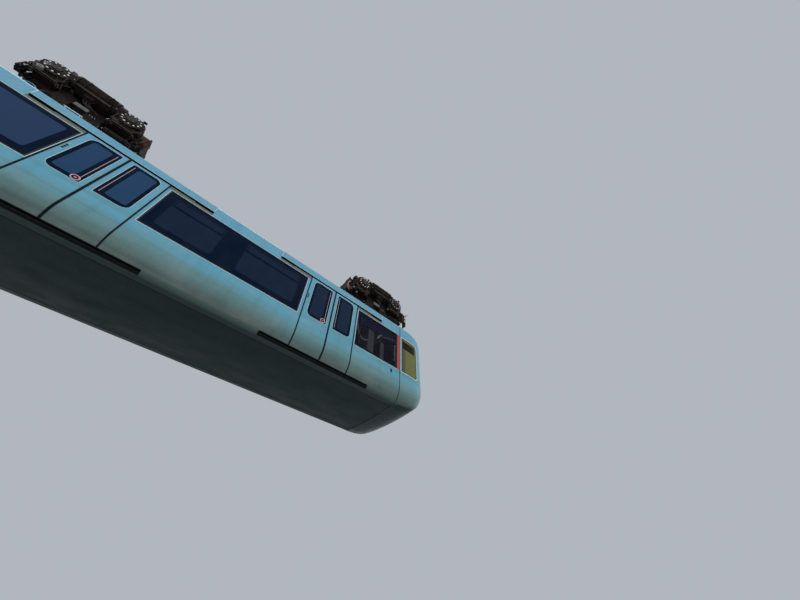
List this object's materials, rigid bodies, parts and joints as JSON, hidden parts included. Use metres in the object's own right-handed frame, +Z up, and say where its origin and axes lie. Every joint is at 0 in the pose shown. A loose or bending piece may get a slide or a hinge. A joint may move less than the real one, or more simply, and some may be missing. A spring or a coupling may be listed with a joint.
{
  "type": "suspended articulated monorail car",
  "caption": "Hanging monorail car in hinged sections under rail bogies, with folding gangways, closed doors, seats and a driver's cab.",
  "frame": {"origin": "top of the rail head under the wheel treads, on the rail's centre plane, halfway along the car", "axes": "+X forward to the driver's cab, +Y to the side without doors, +Z up"},
  "size_m": [24.06, 2.214, 4.3065],
  "materials": {
    "body_paint": "pale blue-green satin paint",
    "belly_panel": "dark slate panel",
    "tinted_glass": "dark tinted glass",
    "black_rubber": "folded gangway fabric",
    "bogie_iron": "greasy, rust-brown",
    "drive_casing": "dusty grey-brown casing",
    "wheel_steel": "rolled bright on the tread",
    "seat_shell": "dark moulded shells"
  },
  "bodies": {
    "mid_section": {"bellows_front": "black_rubber", "bellows_rear": "black_rubber", "mid_door_side_wall": "body_paint", "mid_far_side_wall": "body_paint", "mid_floor": "belly_panel", "mid_roof": "body_paint", "mid_window_door_side": "tinted_glass", "mid_window_far_side": "tinted_glass"},
    "bogie_1": {"bogie_1_drive": "drive_casing", "bogie_1_frame": "bogie_iron"},
    "bogie_1_wheel_front": {"bogie_1_wheel_front": "wheel_steel"},
    "bogie_1_wheel_rear": {"bogie_1_wheel_rear": "wheel_steel"},
    "bogie_2": {"bogie_2_drive": "drive_casing", "bogie_2_frame": "bogie_iron"},
    "bogie_2_wheel_front": {"bogie_2_wheel_front": "wheel_steel"},
    "bogie_2_wheel_rear": {"bogie_2_wheel_rear": "wheel_steel"},
    "bogie_3": {"bogie_3_drive": "drive_casing", "bogie_3_frame": "bogie_iron"},
    "bogie_3_wheel_front": {"bogie_3_wheel_front": "wheel_steel"},
    "bogie_3_wheel_rear": {"bogie_3_wheel_rear": "wheel_steel"},
    "bogie_4": {"bogie_4_drive": "drive_casing", "bogie_4_frame": "bogie_iron"},
    "bogie_4_wheel_front": {"bogie_4_wheel_front": "wheel_steel"},
    "bogie_4_wheel_rear": {"bogie_4_wheel_rear": "wheel_steel"},
    "front_section": {"front_cap_window_door_side": "tinted_glass", "front_cap_window_far_side": "tinted_glass", "front_door_inner_leaf_a": "body_paint", "front_door_inner_leaf_b": "body_paint", "front_door_outer_leaf_a": "body_paint", "front_door_outer_leaf_b": "body_paint", "front_door_side_wall": "body_paint", "front_driver_cab": "seat_shell", "front_end_cap": "body_paint", "front_end_window": "tinted_glass", "front_far_side_wall": "body_paint", "front_far_side_windows": "tinted_glass", "front_floor": "belly_panel", "front_roof": "body_paint", "front_seats_and_poles": "seat_shell", "front_window_1": "tinted_glass", "front_window_2": "tinted_glass", "front_window_3": "tinted_glass"},
    "rear_section": {"rear_cap_window_door_side": "tinted_glass", "rear_cap_window_far_side": "tinted_glass", "rear_door_inner_leaf_a": "body_paint", "rear_door_inner_leaf_b": "body_paint", "rear_door_outer_leaf_a": "body_paint", "rear_door_outer_leaf_b": "body_paint", "rear_door_side_wall": "body_paint", "rear_end_cap": "body_paint", "rear_end_window": "tinted_glass", "rear_far_side_wall": "body_paint", "rear_far_side_windows": "tinted_glass", "rear_floor": "belly_panel", "rear_roof": "body_paint", "rear_seats_and_poles": "seat_shell", "rear_window_1": "tinted_glass", "rear_window_2": "tinted_glass", "rear_window_3": "tinted_glass"}
  },
  "joints": [
    {"name": "front_articulation", "type": "hinge", "parent": "mid_section", "child": "front_section", "pos_m": [1.25, 0, -3.46], "axis": [0, 0, 1], "range_deg": [-41, 41], "deforming": ["bellows_front"]},
    {"name": "rear_articulation", "type": "hinge", "parent": "mid_section", "child": "rear_section", "pos_m": [-1.25, 0, -3.46], "axis": [0, 0, -1], "range_deg": [-41, 41], "deforming": ["bellows_rear"]},
    {"name": "bogie_1_yaw", "type": "hinge", "parent": "front_section", "child": "bogie_1", "pos_m": [10.52, 0, -0.96], "axis": [0, 0, 1], "range_deg": [-27, 27]},
    {"name": "bogie_1_wheel_front_spin", "type": "hinge", "parent": "bogie_1", "child": "bogie_1_wheel_front", "pos_m": [11.188, 0, 0.35], "axis": [0, 1, 0], "continuous": true},
    {"name": "bogie_1_wheel_rear_spin", "type": "hinge", "parent": "bogie_1", "child": "bogie_1_wheel_rear", "pos_m": [9.852, 0, 0.35], "axis": [0, 1, 0], "continuous": true},
    {"name": "bogie_2_yaw", "type": "hinge", "parent": "front_section", "child": "bogie_2", "pos_m": [2.6, 0, -0.96], "axis": [0, 0, -1], "range_deg": [-27, 27]},
    {"name": "bogie_2_wheel_front_spin", "type": "hinge", "parent": "bogie_2", "child": "bogie_2_wheel_front", "pos_m": [3.268, 0, 0.35], "axis": [0, 1, 0], "continuous": true},
    {"name": "bogie_2_wheel_rear_spin", "type": "hinge", "parent": "bogie_2", "child": "bogie_2_wheel_rear", "pos_m": [1.932, 0, 0.35], "axis": [0, 1, 0], "continuous": true},
    {"name": "bogie_3_yaw", "type": "hinge", "parent": "rear_section", "child": "bogie_3", "pos_m": [-2.6, 0, -0.96], "axis": [0, 0, 1], "range_deg": [-27, 27]},
    {"name": "bogie_3_wheel_front_spin", "type": "hinge", "parent": "bogie_3", "child": "bogie_3_wheel_front", "pos_m": [-1.932, 0, 0.35], "axis": [0, 1, 0], "continuous": true},
    {"name": "bogie_3_wheel_rear_spin", "type": "hinge", "parent": "bogie_3", "child": "bogie_3_wheel_rear", "pos_m": [-3.268, 0, 0.35], "axis": [0, 1, 0], "continuous": true},
    {"name": "bogie_4_yaw", "type": "hinge", "parent": "rear_section", "child": "bogie_4", "pos_m": [-10.52, 0, -0.96], "axis": [0, 0, -1], "range_deg": [-27, 27]},
    {"name": "bogie_4_wheel_front_spin", "type": "hinge", "parent": "bogie_4", "child": "bogie_4_wheel_front", "pos_m": [-9.852, 0, 0.35], "axis": [0, 1, 0], "continuous": true},
    {"name": "bogie_4_wheel_rear_spin", "type": "hinge", "parent": "bogie_4", "child": "bogie_4_wheel_rear", "pos_m": [-11.188, 0, 0.35], "axis": [0, 1, 0], "continuous": true}
  ]
}
